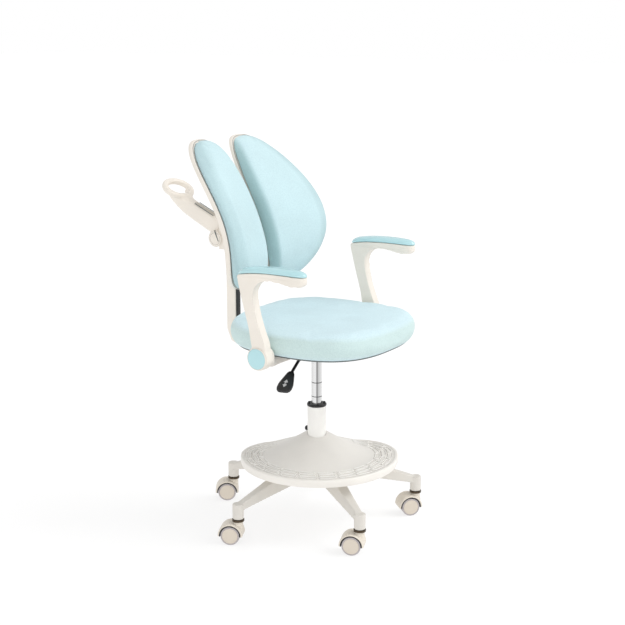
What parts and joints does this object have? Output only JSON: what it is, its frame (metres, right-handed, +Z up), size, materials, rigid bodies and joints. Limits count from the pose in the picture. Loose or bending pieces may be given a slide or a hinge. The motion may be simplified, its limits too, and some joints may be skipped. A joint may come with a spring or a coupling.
{
  "type": "swivel desk chair",
  "caption": "Child's swivel desk chair with a padded seat, split back pads, flip-up arms, rear loop handle, gas lift, round footrest plate and a star base on twin-wheel casters.",
  "frame": {"origin": "on the column axis at floor level", "axes": "+Z up; the chair faces -Y, so +X is the sitter's left"},
  "size_m": [0.6001, 0.7581, 1.0156],
  "materials": {
    "white_plastic": "warm white moulded plastic, satin",
    "beige_plastic": "beige moulded plastic",
    "wheel_plastic": "beige hub with a grey rim",
    "bronze_metal": "dark plated steel",
    "steel": "plain steel",
    "black_metal": "black painted steel",
    "black_plastic": "black moulded plastic",
    "chrome": "polished chrome",
    "blue_fabric": "light blue woven fabric over foam",
    "blue_plastic": "blue moulded plastic, glossy"
  },
  "bodies": {
    "base": {"star_base": "white_plastic", "lift_column": "white_plastic", "guide_bush": "black_plastic", "thrust_bearing": "steel"},
    "lift_rod": {"piston_rod": "steel", "rod_clip": "steel"},
    "seat": {"gas_cylinder": "chrome", "seat_mechanism": "black_plastic", "seat_pan": "black_plastic", "seat_cushion": "blue_fabric", "seat_bolts": "steel", "arm_bracket_right": "white_plastic", "arm_bracket_left": "white_plastic", "arm_pin_right": "steel", "arm_pin_left": "steel", "back_upright": "white_plastic", "upright_trim": "black_plastic"},
    "valve": {"valve_button": "steel"},
    "lever": {"lever_rod": "black_metal", "lever_paddle": "black_plastic"},
    "arm_right": {"arm_frame_right": "white_plastic", "arm_pad_right": "blue_plastic", "arm_cap_right": "blue_plastic"},
    "arm_left": {"arm_frame_left": "white_plastic", "arm_pad_left": "blue_plastic", "arm_cap_left": "blue_plastic"},
    "back": {"back_carrier": "white_plastic", "rear_handle": "white_plastic", "back_hinge_pins": "steel"},
    "back_right": {"back_shell_right": "white_plastic", "back_pad_right": "blue_fabric"},
    "back_left": {"back_shell_left": "white_plastic", "back_pad_left": "blue_fabric"},
    "footrest": {"footrest_plate": "white_plastic"},
    "footrest_lock": {"footrest_knob": "black_plastic"},
    "caster_1": {"caster_1_stem": "bronze_metal", "caster_1_hood": "beige_plastic", "caster_1_axle": "steel"},
    "wheel_1_a": {"caster_1_wheel_a": "wheel_plastic"},
    "wheel_1_b": {"caster_1_wheel_b": "wheel_plastic"},
    "caster_2": {"caster_2_stem": "bronze_metal", "caster_2_hood": "beige_plastic", "caster_2_axle": "steel"},
    "wheel_2_a": {"caster_2_wheel_a": "wheel_plastic"},
    "wheel_2_b": {"caster_2_wheel_b": "wheel_plastic"},
    "caster_3": {"caster_3_stem": "bronze_metal", "caster_3_hood": "beige_plastic", "caster_3_axle": "steel"},
    "wheel_3_a": {"caster_3_wheel_a": "wheel_plastic"},
    "wheel_3_b": {"caster_3_wheel_b": "wheel_plastic"},
    "caster_4": {"caster_4_stem": "bronze_metal", "caster_4_hood": "beige_plastic", "caster_4_axle": "steel"},
    "wheel_4_a": {"caster_4_wheel_a": "wheel_plastic"},
    "wheel_4_b": {"caster_4_wheel_b": "wheel_plastic"},
    "caster_5": {"caster_5_stem": "bronze_metal", "caster_5_hood": "beige_plastic", "caster_5_axle": "steel"},
    "wheel_5_a": {"caster_5_wheel_a": "wheel_plastic"},
    "wheel_5_b": {"caster_5_wheel_b": "wheel_plastic"}
  },
  "joints": [
    {"name": "seat_swivel", "type": "hinge", "parent": "base", "child": "lift_rod", "pos_m": [0, 0, 0.3], "axis": [0, 0, 1], "continuous": true},
    {"name": "seat_height", "type": "slide", "parent": "lift_rod", "child": "seat", "axis": [0, 0, 1], "range_m": [-0.08, 0]},
    {"name": "height_lever", "type": "hinge", "parent": "seat", "child": "lever", "pos_m": [-0.04385, -0.01012, 0.4782], "axis": [-0.225, 0.9744, 0], "range_deg": [0, 4], "stiffness_Nm_per_rad": 1.5, "springref_deg": -11.46},
    {"name": "valve_press", "type": "slide", "parent": "seat", "child": "valve", "axis": [0, 0, 1], "range_m": [-0.0035, 0]},
    {"name": "arm_right_flip", "type": "hinge", "parent": "seat", "child": "arm_right", "pos_m": [-0.2663, -0.006, 0.512], "axis": [-1, 0, 0], "range_deg": [0, 90]},
    {"name": "arm_left_flip", "type": "hinge", "parent": "seat", "child": "arm_left", "pos_m": [0.2663, -0.006, 0.512], "axis": [-1, 0, 0], "range_deg": [0, 90]},
    {"name": "back_height", "type": "slide", "parent": "seat", "child": "back", "axis": [0, 0, 1], "range_m": [0, 0.05]},
    {"name": "back_right_swing", "type": "hinge", "parent": "back", "child": "back_right", "pos_m": [-0.045, 0.212, 0.754], "axis": [0, 0, -1], "range_deg": [-5, 8], "stiffness_Nm_per_rad": 10},
    {"name": "back_left_swing", "type": "hinge", "parent": "back", "child": "back_left", "pos_m": [0.045, 0.212, 0.754], "axis": [0, 0, 1], "range_deg": [-5, 8], "stiffness_Nm_per_rad": 10},
    {"name": "footrest_height", "type": "slide", "parent": "base", "child": "footrest", "axis": [0, 0, 1], "range_m": [0, 0.05]},
    {"name": "footrest_lock_turn", "type": "hinge", "parent": "footrest", "child": "footrest_lock", "pos_m": [0.01169, 0.03825, 0.245], "axis": [0.2924, 0.9563, 0], "range_deg": [0, 180]},
    {"name": "caster_1_swivel", "type": "hinge", "parent": "base", "child": "caster_1", "pos_m": [-0.14923, -0.2298, 0.08], "axis": [0, 0, 1], "continuous": true},
    {"name": "wheel_1_a_roll", "type": "hinge", "parent": "caster_1", "child": "wheel_1_a", "pos_m": [-0.16887, -0.21724, 0.025], "axis": [0.9272, 0.3746, 0], "continuous": true},
    {"name": "wheel_1_b_roll", "type": "hinge", "parent": "caster_1", "child": "wheel_1_b", "pos_m": [-0.14383, -0.20712, 0.025], "axis": [0.9272, 0.3746, 0], "continuous": true},
    {"name": "caster_2_swivel", "type": "hinge", "parent": "base", "child": "caster_2", "pos_m": [0.17243, -0.21294, 0.08], "axis": [0, 0, 1], "continuous": true},
    {"name": "wheel_2_a_roll", "type": "hinge", "parent": "caster_2", "child": "wheel_2_a", "pos_m": [0.14933, -0.20985, 0.025], "axis": [0.682, 0.7314, 0], "continuous": true},
    {"name": "wheel_2_b_roll", "type": "hinge", "parent": "caster_2", "child": "wheel_2_b", "pos_m": [0.16775, -0.19011, 0.025], "axis": [0.682, 0.7314, 0], "continuous": true},
    {"name": "caster_3_swivel", "type": "hinge", "parent": "base", "child": "caster_3", "pos_m": [0.2558, 0.09819, 0.08], "axis": [0, 0, 1], "continuous": true},
    {"name": "wheel_3_a_roll", "type": "hinge", "parent": "caster_3", "child": "wheel_3_a", "pos_m": [0.23325, 0.10407, 0.025], "axis": [0.766, 0.6428, 0], "continuous": true},
    {"name": "wheel_3_b_roll", "type": "hinge", "parent": "caster_3", "child": "wheel_3_b", "pos_m": [0.25393, 0.12143, 0.025], "axis": [0.766, 0.6428, 0], "continuous": true},
    {"name": "caster_4_swivel", "type": "hinge", "parent": "base", "child": "caster_4", "pos_m": [-0.01434, 0.27362, 0.08], "axis": [0, 0, 1], "continuous": true},
    {"name": "wheel_4_a_roll", "type": "hinge", "parent": "caster_4", "child": "wheel_4_a", "pos_m": [-0.03643, 0.28106, 0.025], "axis": [0.809, 0.5878, 0], "continuous": true},
    {"name": "wheel_4_b_roll", "type": "hinge", "parent": "caster_4", "child": "wheel_4_b", "pos_m": [-0.01459, 0.29693, 0.025], "axis": [0.809, 0.5878, 0], "continuous": true},
    {"name": "caster_5_swivel", "type": "hinge", "parent": "base", "child": "caster_5", "pos_m": [-0.26466, 0.07092, 0.08], "axis": [0, 0, 1], "continuous": true},
    {"name": "wheel_5_a_roll", "type": "hinge", "parent": "caster_5", "child": "wheel_5_a", "pos_m": [-0.28513, 0.08208, 0.025], "axis": [0.8988, 0.4384, 0], "continuous": true},
    {"name": "wheel_5_b_roll", "type": "hinge", "parent": "caster_5", "child": "wheel_5_b", "pos_m": [-0.26086, 0.09391, 0.025], "axis": [0.8988, 0.4384, 0], "continuous": true}
  ],
  "couplings": [
    {"joint": "valve_press", "follows": "height_lever", "m_per_rad": -0.045}
  ]
}
